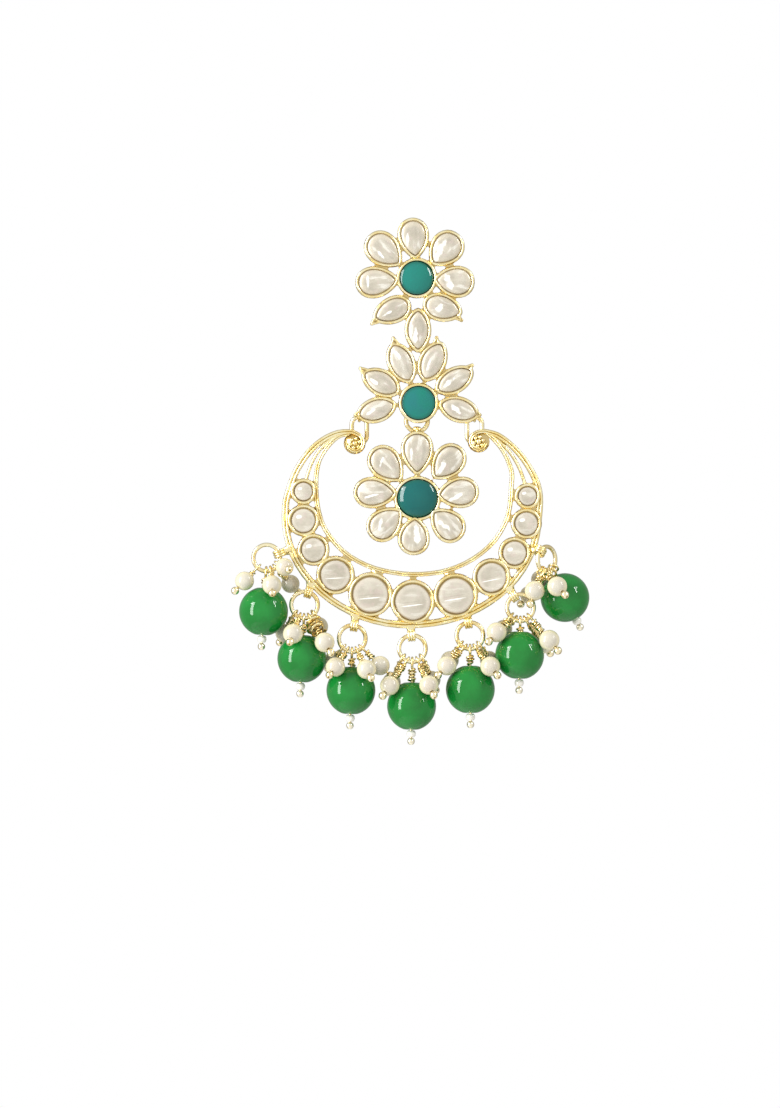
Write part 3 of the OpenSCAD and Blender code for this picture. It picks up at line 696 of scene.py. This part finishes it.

# Foiled stones: flat-backed clear glass with a low smooth crown, set over crumpled silver foil,
# which shows as greige patches. The white glints on each are painted highlights. The round ones of the
# crescent lie flatter.
seat, petal_height, disc_height = 0.9, 1.25, 1.15
foil_light, foil_dark, foil_shade = (0.61, 0.57, 0.475), (0.47, 0.43, 0.345), (0.39, 0.36, 0.29)
foil_warm, foil_pale, glint_white = (0.61, 0.48, 0.445), (0.84, 0.82, 0.74), (0.99, 0.98, 0.93)
line_grey, edge_brown = (0.36, 0.33, 0.26), (0.4, 0.29, 0.14)


def crown(stone, height, rings, glint=(0, 0, 0, 1, 1), sides=56):
    """A stone in its place. Each ring is (size of the outline, share of the height). The painted glint
    is (across, up, lean, width, length), and the points carry their place in the glint's own frame."""
    bm = new_piece()
    names = ("size", "cross", "along", "glint_across", "glint_up")
    layers = {name: bm.verts.layers.float.new(name) for name in names}
    b = radians(stone.bearing)

    def place(step, turn):
        size, share = rings[step]
        return in_place(stone, size * outline(stone, turn), seat + share * height), size
    drawn(bm, len(rings), sides, place, pointed=True)
    recess = bm.verts.layers.float["recess"]
    right, rise, lean, glint_width, glint_length = glint
    lean = radians(lean)
    for v in bm.verts:
        v[layers["size"]], v[recess] = v[recess], 0.0
        u, w = v.co.x / mm - stone.x, v.co.z / mm - stone.z
        # A stone's own streaks run along it, and each stone has others
        v[layers["cross"]] = u * cos(b) - w * sin(b) + 7 * stone.x + 3 * stone.z
        v[layers["along"]] = u * sin(b) + w * cos(b)
        u, w = 2 * u / stone.width - right, 2 * w / stone.width - rise
        v[layers["glint_across"]] = (u * cos(lean) - w * sin(lean)) / glint_width
        v[layers["glint_up"]] = (u * sin(lean) + w * cos(lean)) / glint_length
    return bm


def maths(tree, operation, a, b=0.0):
    node = tree.nodes.new("ShaderNodeMath")
    node.operation = operation
    for socket, value in zip(node.inputs, (a, b)):
        if isinstance(value, (int, float)):
            socket.default_value = value
        else:
            tree.links.new(value, socket)
    return node.outputs["Value"]


def clouds(tree, place, scale, detail):
    """Soft irregular patches."""
    node = tree.nodes.new("ShaderNodeTexNoise")
    fill(node, {"Scale": scale, "Detail": detail})
    tree.links.new(place, node.inputs["Vector"])
    return node.outputs["Fac"]


def foiled_finish(name, ragged, streaky, rim, far_line, dark_from, dark_to):
    """Clear stone over crumpled foil, with a painted highlight near its rim, painted shade from a size on
    to its edge, a painted glint and, a number of its widths away, a faint painted reflection line."""
    material, tree, shader, hand = new_finish(
        name, {"Metallic": 0.25, "Coat Weight": 1.0, "Coat Roughness": 0.04, "Coat IOR": 1.4, "IOR": 1.5},
        tones(foil_light, foil_dark, 330.0, 1300.0, 0.28, 0.48), 0.35, 0.0003)
    here = tree.nodes.new("ShaderNodeTexCoord").outputs["Object"]
    size, across, up = (of_piece(tree, layer) for layer in ("size", "glint_across", "glint_up"))

    def times(a, b):
        return maths(tree, "MULTIPLY", a, b)

    def absolute(value):
        return maths(tree, "ABSOLUTE", value)

    lying = tree.nodes.new("ShaderNodeCombineXYZ")
    tree.links.new(of_piece(tree, "cross"), lying.inputs["X"])
    tree.links.new(times(of_piece(tree, "along"), 0.3), lying.inputs["Y"])
    streaks = clouds(tree, lying.outputs["Vector"], 0.85, 4)
    crumple = clouds(tree, here, 1000, 3)
    shaded = ramp(tree, streaks, 0.5, 0.36, 0, 0.5 * streaky)
    colour = masked(tree, hand.outputs["Color"], foil_shade, shaded)
    colour = masked(tree, colour, foil_warm, ramp(tree, crumple, 0.5, 0.66, 0, 0.35))
    # A paler band near the rim, a painted highlight
    rim_light = times(ramp(tree, size, 0.6, 0.8, 0, 0.5), ramp(tree, size, 0.9, 0.97, 1, 0))
    colour = masked(tree, colour, rim, rim_light)
    colour = masked(tree, colour, foil_pale, ramp(tree, streaks, 0.53, 0.64, 0, 0.7 * streaky))
    # A faint grey line beside the glint, a painted reflection
    if far_line:
        off_line = absolute(maths(tree, "SUBTRACT", across, far_line))
        line = times(ramp(tree, off_line, 0.2, 1.3, 0.4, 0), ramp(tree, absolute(up), 0.7, 1.1, 1, 0))
        colour = masked(tree, colour, line_grey, line)
    # The glint: a white patch with a ragged edge, a painted highlight
    away = maths(tree, "ADD", times(across, across), maths(tree, "POWER", absolute(up), 3.0))
    crumbled = times(maths(tree, "SUBTRACT", crumple, 0.5), ragged)
    shine = maths(tree, "ADD", maths(tree, "SUBTRACT", 1.0, away), crumbled)
    colour = masked(tree, colour, glint_white, ramp(tree, shine, -0.6, 0.9))
    # Brown in patches towards the edge, painted shade where the bezel meets the stone
    shade_patches = ramp(tree, clouds(tree, here, 330, 2), 0.4, 0.58, 0.15, 1.0)
    colour = masked(tree, colour, edge_brown, times(shade_patches, ramp(tree, size, dark_from, dark_to, 0, 0.9)))
    tree.links.new(colour, shader.inputs["Base Color"])
    return material


foiled_petal = foiled_finish("foiled_petal", ragged=5.0, streaky=1.0, rim=(0.66, 0.59, 0.45), far_line=0,
                             dark_from=0.94, dark_to=1.0)
foiled_disc = foiled_finish("foiled_disc", ragged=0.8, streaky=0.5, rim=(0.7, 0.65, 0.54), far_line=-6.0,
                            dark_from=0.84, dark_to=0.93)

petal_rings = [(1, 0), (1, 0.5), (0.97, 0.64), (0.91, 0.76),
               (0.82, 0.85), (0.69, 0.92), (0.52, 0.97), (0.3, 1)]
disc_rings = [(1, 0), (1, 0.42), (0.97, 0.54), (0.92, 0.61),
              (0.84, 0.66), (0.72, 0.7), (0.55, 0.72), (0.3, 0.73)]
# Each stone's painted glint, a painted highlight: across, up, lean, width, length
petal_glints = {
    "top": ((-0.5, -0.15, 0, 0.1, 0.45), (-0.38, -0.1, 24, 0.2, 0.85), (-0.42, -0.05, -22, 0.24, 0.62),
            (-0.3, -0.05, 30, 0.26, 0.42), (-0.28, -0.55, 4, 0.2, 0.8), (-0.45, -0.3, 62, 0.1, 0.55),
            (-0.72, 0.0, 0, 0.1, 0.5), (-0.25, -0.35, -40, 0.09, 0.4)),
    "middle": ((-0.35, 0.75, -30, 0.16, 0.5), (-0.4, -0.35, 18, 0.1, 0.6),
               (-0.55, -0.2, 50, 0.2, 0.7), (-0.35, 0.05, -48, 0.22, 0.6),
               (-0.55, -0.15, 55, 0.15, 0.55), (-0.75, 0.15, -50, 0.16, 0.5)),
    "pendant": ((-0.45, -0.05, 0, 0.08, 0.5), (-0.42, -0.35, 22, 0.16, 0.6),
                (-0.2, -0.35, 60, 0.17, 0.6), (-0.2, -0.1, -55, 0.16, 0.62),
                (0.22, 0.15, -6, 0.22, 0.8), (-0.4, 0.0, 10, 0.12, 0.55), (-0.3, -0.25, 75, 0.08, 0.55),
                (-0.4, 0.25, 20, 0.09, 0.4)),
}
bodies_of = {"top": "stud", "middle": "stud", "pendant": "pendant"}
for node, stone in flower_stones.items():
    flower, _, number = node.split("_")
    petal = crown(stone, petal_height, petal_rings, petal_glints[flower][int(number) - 1])
    finished("foiled_" + node, petal, foiled_petal, bodies_of[flower], "foiled_stone", node)
for number, stone in enumerate(crescent_stones, 1):
    # The larger ones get a thin painted reflection line across, and the small ones a soft painted reflection
    # above
    glint = (-0.35, 0.28, 80, 0.14, 0.22)
    if stone.width > 5:
        glint = (-0.05, -0.2, 96 - 2.2 * number, 0.03, 0.58)
    disc = crown(stone._replace(bearing=86), disc_height, disc_rings, glint)
    finished(f"foiled_crescent_stone_{number}", disc, foiled_disc, "crescent", "foiled_stone",
             f"crescent_stone_{number}")

# Crevice shade rings: a thin dark ring between each stone and its bezel, painted shade of the
# gap there, which draws the fine line round every stone.
crevice_shade_tones = tones((0.86, 0.7, 0.4), (0.2, 0.12, 0.045), 330.0, 2500.0, 0.25, 0.45)
crevice_shade = new_finish("painted_crevice_shade", {"Metallic": 0.9}, crevice_shade_tones, 0.4, 0.00005)[0]


def crevice_shade_rings(name, stones, body):
    """One dark ring of painted shade round each stone, from inside its edge to the bezel."""
    bm, depth, inside, outside = new_piece(), 1.5, 0.06, 0.07
    corners = [(-inside, depth), (outside, depth + 0.03), (outside, depth - 0.08), (-inside, depth - 0.08)]
    for stone in stones:
        stone = stone._replace(thorn_turn=0, thorn_reach=0)
        drawn(bm, 4, 56, lambda step, turn: (setting_point(stone, turn, *corners[step]), 0.0), closed=True)
    finished(name, bm, crevice_shade, body, "gold")


for body in ("stud", "pendant"):
    stones = [stone for node, stone in flower_stones.items() if bodies_of[node.split("_")[0]] == body]
    crevice_shade_rings(body + "_crevice_shade_rings", stones, body)

# Teal stones: smooth opaque glass cabochons in the middle of each flower, with a low dome that
# turns down inside its bezel to an edge painted dark as painted shade. The one in the hanging flower
# is deeper in colour.
dome_edge, shaded_teal, black_teal = 0.6, (0.01, 0.105, 0.075), (0.006, 0.03, 0.02)
# Two colours, how steep the dome is at its edge, and how far it leans to the right and up
Teal = namedtuple("Teal", "light dark slope right up")
teals = {
    "top": Teal((0.007, 0.192, 0.152), (0.01, 0.175, 0.148), 34, 0.085, 0.065),
    "middle": Teal((0.005, 0.19, 0.142), (0.012, 0.16, 0.166), 20, 0, 0),
    "pendant": Teal((0.003, 0.118, 0.108), (0.002, 0.106, 0.102), 40, 0, -0.06),
}


def domed(stone, slope):
    """The height of a round dome, and its rings, from how steep it is at its edge."""
    steep = radians(slope)
    sphere = stone.length / 2 / sin(steep)
    top = dome_edge + sphere * (1 - cos(steep))
    sizes = (0.985, 0.95, 0.9, 0.84, 0.76, 0.66, 0.54, 0.4, 0.25, 0.12)
    return top, [(1.0, 0.0), (1.0, 0.9 * dome_edge / top)] + [
        (size, 1 - sphere * (1 - cos(asin(size * sin(steep)))) / top) for size in sizes]


def glassy(coat_ior):
    """Opaque glass with a bright polish."""
    return {"Specular IOR Level": 0.0, "Coat Weight": 1.0, "Coat Roughness": 0.02, "Coat IOR": coat_ior}


for node, stone in teal_stones.items():
    flower = node.split("_")[2]
    teal = teals[flower]
    teal_tones = tones(teal.light, teal.dark, 260.0, 900.0, 0.12, 0.2)
    name = "teal_glass_" + flower
    teal_glass, tree, shader, hand = new_finish(name, glassy(1.42), teal_tones, 0.08, 0.00004)
    size = of_piece(tree, "size")
    # The dome's edge is painted darker and then nearly black, as painted shade
    colour = masked(tree, hand.outputs["Color"], shaded_teal, ramp(tree, size, 0.76, 0.97, 0, 0.7))
    colour = masked(tree, colour, black_teal, ramp(tree, size, 0.95, 0.985, 0, 0.9))
    tree.links.new(colour, shader.inputs["Base Color"])
    height, rings = domed(stone, teal.slope)
    bm = crown(stone, height, rings, sides=72)
    for v in bm.verts:
        # It sits a little askew in its bezel
        rise = min(1.0, max(0.0, -v.co.y / mm - seat) / dome_edge)
        v.co.y += rise * (teal.right * (v.co.x - stone.x * mm) + teal.up * (v.co.z - stone.z * mm))
    finished("cabochon_" + flower, bm, teal_glass, bodies_of[flower], "teal_glass", node)

# Links and jump rings: round gold wire bent to a ring or an oval. A jump ring is closed by
# hand, so a fine cut shows on each. The links pass through the eyes behind the castings.
ring_cut, link_wire, link_back = 0.05, 0.42, 0.75
link_top, link_bend, link_straight, link_side = -25.75, 1.4, 1.05, 10.7


def ring_piece(name, middle, radius, wire, body, node, cut=0.0, turn=90, yaw=0, straight=0.0):
    """A standing ring of wire, or an oval with a straight stretch on each side."""
    bm, ring = new_piece(), new_piece()
    wire_ring(ring, radius * mm, wire * mm, cut=cut * mm, turn=turn)
    for v in ring.verts:
        v.co.y += (straight if v.co.y > 0 else -straight) * mm
    turned = Matrix.Rotation(radians(yaw), 4, "Z") @ Matrix.Rotation(radians(90), 4, "X")
    joined(bm, ring, Matrix.Translation(middle) @ turned)
    finished(name, bm, wire_gold, body, "gold", node)


for number, drop in enumerate(drops, 1):
    ring_piece(f"jump_ring_{number}", (drop.x, ring_y, drop.z), ring_radius, ring_wire, "crescent",
               f"drop_ring_{number}", ring_cut, 150 + 37 * number, drop.yaw)
for side, node in ((-1, "side_link_left"), (1, "side_link_right")):
    middle = (side * link_side, link_back, link_top - link_bend - link_straight)
    ring_piece("oval_" + node, middle, link_bend, link_wire, "crescent", node, straight=link_straight)
ring_piece("round_pendant_link", (0, link_back, -26.5), 2.0, link_wire, "stud", "pendant_link", ring_cut, 200)

# Green beads: pressed glass balls, nearly opaque, drilled and slightly flattened at both ends
# of the hole, with a bright polish.
bead_radius, bead_half, bead_bore = 4.55, 4.38, 0.45
green_tones = tones((0.008, 0.214, 0.03), (0.006, 0.163, 0.021), 240.0, 800.0, 0.1, 0.18)
green_glass = new_finish("green_glass", glassy(1.45), green_tones, 0.08, 0.00008)[0]


def bead_place(drop):
    """Where a green bead's pin hangs on its ring, and how far away the bead is."""
    middle = Vector(drop.bead)
    away = middle - Vector((drop.x, ring_y, drop.z))
    point, wire = ring_point(drop, degrees(atan2(away.dot(ring_across(drop)), -away.z)))
    return standing(point, middle - point, wire), (middle - point).length


def drilled_bead(radius, half_height, bore, middle, segments, rows):
    """A bead round the z axis: its outside spun from one end of the hole to the other, then the hole."""
    bm, lip = new_piece(), 0.12
    start = asin(min(1.0, (bore + lip) / radius))
    arc = [start + (pi - 2 * start) * i / rows for i in range(rows + 1)]
    points = [(bore, lip - half_height)] + [(radius * sin(a), -radius * cos(a)) for a in arc]
    points = [(x, max(-half_height, min(half_height, z))) for x, z in points + [(bore, half_height - lip)]]
    verts = [bm.verts.new((x * mm, 0, (middle + z) * mm)) for x, z in points]
    edges = [bm.edges.new((a, b)) for a, b in zip(verts, verts[1:] + verts[:1])]
    spun(bm, verts + edges, segments, 2 * pi, True)
    bmesh.ops.remove_doubles(bm, verts=bm.verts, dist=1e-7)
    return bm


for number, drop in enumerate(drops, 1):
    place, reach = bead_place(drop)
    bm = new_piece()
    joined(bm, drilled_bead(bead_radius, bead_half, bead_bore, reach, 64, 30), place)
    finished(f"glass_bead_{number}", bm, green_glass, "crescent", "green_glass", f"green_bead_{number}")

# Head pins: gold wire with a ball at its foot, threaded through a bead or a pearl, looped round
# the jump ring and wound back down its own neck.
wound_gold = gold_finish("wound_gold", (1.0, 0.89, 0.54), (0.9, 0.68, 0.27), 0.14, 0.32, 0.1)


def wound_coil(around, wire, thick, pitch, start, end, unlike):
    """Wire wound round a neck from start to end. It is painted dark on the side of the neck, as painted
    shade.
    """
    coil = new_piece()
    turns = max(1.5, (end - start) / pitch)
    wire_profile(coil, around * mm, thick * mm, 8, True, start * mm)
    steps = int(18 * turns)
    geom = coil.verts[:] + coil.edges[:] + coil.faces[:]
    spun(coil, geom, steps, 2 * pi * turns, False, pitch * turns / steps * mm)
    recess = coil.verts.layers.float["recess"]
    for v in coil.verts:
        inward = (around - hypot(v.co.x, v.co.y) / mm) / (0.5 * wire)
        v[recess] = min(0.7, max(0.0, inward + 0.5))
        # Wound by hand, so no two turns lie alike
        v.co.x *= 1 + 0.16 * sin(4.1 * v.co.z / mm + 9 * unlike)
        v.co.y *= 1 + 0.16 * sin(3.3 * v.co.z / mm + 5 * unlike)
    return coil


def head_pin(bm, place, loop, wire, hold, ball, ball_radius, knob, wrap=0.0):
    """One pin: its loop, its stem, the wire wound round its neck as far as hold, and its dimpled
    ball, the dimple painted dark as painted shade. knob is the ball's recess, which below zero paints it
    paler, and wrap the radius of a loose knot of wire on the neck."""
    middle = loop - wire - ring_wire - 0.14
    neck = middle + loop
    ring = new_piece()
    wire_ring(ring, loop * mm, wire * mm, steps=28, sides=10)
    sideways = Matrix.Rotation(radians(90), 4, "Y")
    joined(bm, ring, place @ Matrix.Translation((0, 0, middle)) @ sideways)
    stem = new_piece()
    bmesh.ops.create_cone(stem, cap_ends=True, segments=12, radius1=wire * mm, radius2=wire * mm,
                          depth=(ball - neck) * mm)
    joined(bm, stem, place @ Matrix.Translation((0, 0, (ball + neck) / 2)))
    coils = [(2.1 * wire, wire, 2.45 * wire, neck + 0.7 * wire, hold - 0.5 * wire)]
    if wrap:
        coils.append((wrap, 1.3 * wire, 4.4 * wire, neck + 0.3, neck + 2.9))
    for around, thick, pitch, start, end in coils:
        joined(bm, wound_coil(around, wire, thick, pitch, start, end, ball), place)
    foot = new_piece()
    bmesh.ops.create_uvsphere(foot, u_segments=20, v_segments=16, radius=ball_radius * mm)
    recess = foot.verts.layers.float["recess"]
    for v in foot.verts:
        v[recess] = knob
        # The dimple on top is painted dark, as painted shade
        if v.co.z > 0.95 * ball_radius * mm:
            v.co.z -= 0.12 * ball_radius * mm
            v[recess] = 1.0
    joined(bm, foot, place @ Matrix.Translation((0, 0, ball)))


bead_ball, seed_room, play = 0.7, 1.45, 0.1
bm = new_piece()
for drop in drops:
    place, reach = bead_place(drop)
    head_pin(bm, place, loop=0.95, wire=0.24, hold=reach - bead_half - play,
             ball=reach + bead_half + seed_room + bead_ball, ball_radius=bead_ball, knob=-1.0)
finished("bead_head_pins", bm, wound_gold, "crescent", "gold", "bead_pins")

# Seed beads: a tiny pale glass bead that fills the space between each green bead and the ball
# of its pin.
seed_coat = {"Coat Weight": 1.0, "Coat Roughness": 0.05, "IOR": 1.5}
seed_tones = tones((0.9, 0.88, 0.81), (0.8, 0.77, 0.68), 900.0, 2500.0, 0.15, 0.3)
seed_glass = new_finish("seed_glass", seed_coat, seed_tones, 0.2, 0.00003)[0]
seed_radius, seed_half, seed_bore, seed_reach = 0.86, 0.62, 0.28, 0.76
bm = new_piece()
for drop in drops:
    place, reach = bead_place(drop)
    middle = reach + bead_half + seed_reach
    joined(bm, drilled_bead(seed_radius, seed_half, seed_bore, middle, 24, 10), place)
finished("seed_beads", bm, seed_glass, "crescent", "green_glass")

# Pearls: glass-cored pearls with a cream lustre, four round the top of every green bead, each
# on its own head pin.
pearl_lustre, tree, shader, hand = new_finish(
    "pearl_lustre", {"Coat Weight": 0.6, "Coat Roughness": 0.1, "Coat IOR": 1.4, "IOR": 1.5},
    tones((0.6, 0.575, 0.48), (0.6, 0.54, 0.44), 260.0, 1200.0, 0.22, 0.34), 0.08, 0.00006)
# The edge of each pearl is painted golden where it turns away, a painted reflection of the gold round it
slope = tree.nodes.new("ShaderNodeLayerWeight")
fill(slope, {"Blend": 0.5})
golden_edge = ramp(tree, slope.outputs["Facing"], 0.12, 0.6, 0, 0.9)
colour = masked(tree, hand.outputs["Color"], (0.8, 0.73, 0.48), golden_edge)
tree.links.new(colour, shader.inputs["Base Color"])
# Each pearl: its drop, the bearing of its pin on the ring, its middle and its radius
pearls = [
    (1, -44, -31.95, -1.6, -56.2, 1.75), (1, 20, -26.85, -4.6, -56.95, 1.8), (1, 43, -23.5, 2.6, -56.75, 1.7),
    (1, 66, -24.5, -3.9, -53.6, 1.65), (2, -25, -22.95, -5.0, -65.95, 1.85), (2, -48, -24.6, 2.8, -65.9, 1.7),
    (2, 23, -17.1, -4.7, -67.55, 1.85), (2, 47, -18.3, 2.9, -64.7, 1.8), (3, -24, -15.1, -4.5, -72.1, 1.8),
    (3, -46, -15.5, 2.4, -71.0, 1.75), (3, 22, -9.35, -5.0, -72.55, 1.8), (3, 46, -6.85, -0.4, -71.9, 1.8),
    (4, -24, -5.05, -3.9, -75.55, 1.8), (4, -46, -4.7, 2.8, -75.0, 1.7), (4, 24, 2.2, -4.7, -75.45, 1.8),
    (4, 46, 2.7, 2.6, -74.6, 1.7), (5, -26, 5.55, -2.7, -71.9, 1.8), (5, -48, 6.1, 2.6, -70.95, 1.7),
    (5, 24, 13.55, -4.2, -72.0, 1.85), (5, 46, 13.4, 2.6, -70.9, 1.7), (6, -50, 14.75, -3.2, -65.7, 1.85),
    (6, -26, 16.1, 3.2, -65.1, 1.65), (6, 46, 24.5, -3.2, -67.15, 1.9), (6, 24, 23.6, 3.5, -68.0, 1.7),
    (7, -38, 21.8, -2.9, -58.0, 1.85), (7, 10, 20.8, 2.2, -58.8, 1.65), (7, -14, 25.95, -3.9, -57.2, 1.85),
    (7, 56, 22.9, 5.2, -55.9, 1.65),
]
pearl_bore, pearl_ball, knotted_pin = 0.32, 0.75, (2, 23)
balls, pins = new_piece(), new_piece()
for number, bearing, x, y, z, radius in pearls:
    point, wire = ring_point(drops[number - 1], bearing)
    way = Vector((x, y, z)) - point
    place = standing(point, way, wire)
    joined(balls, drilled_bead(radius, radius, pearl_bore, way.length, 32, 16), place)
    head_pin(pins, place, loop=0.9, wire=0.2, hold=way.length - radius - play,
             ball=way.length + radius + play + pearl_ball, ball_radius=pearl_ball, knob=-0.5,
             wrap=1.35 if (number, bearing) == knotted_pin else 0.0)
finished("lustre_pearls", balls, pearl_lustre, "crescent", "pearl", "pearls")
finished("pearl_head_pins", pins, wound_gold, "crescent", "gold", "pearl_pins")
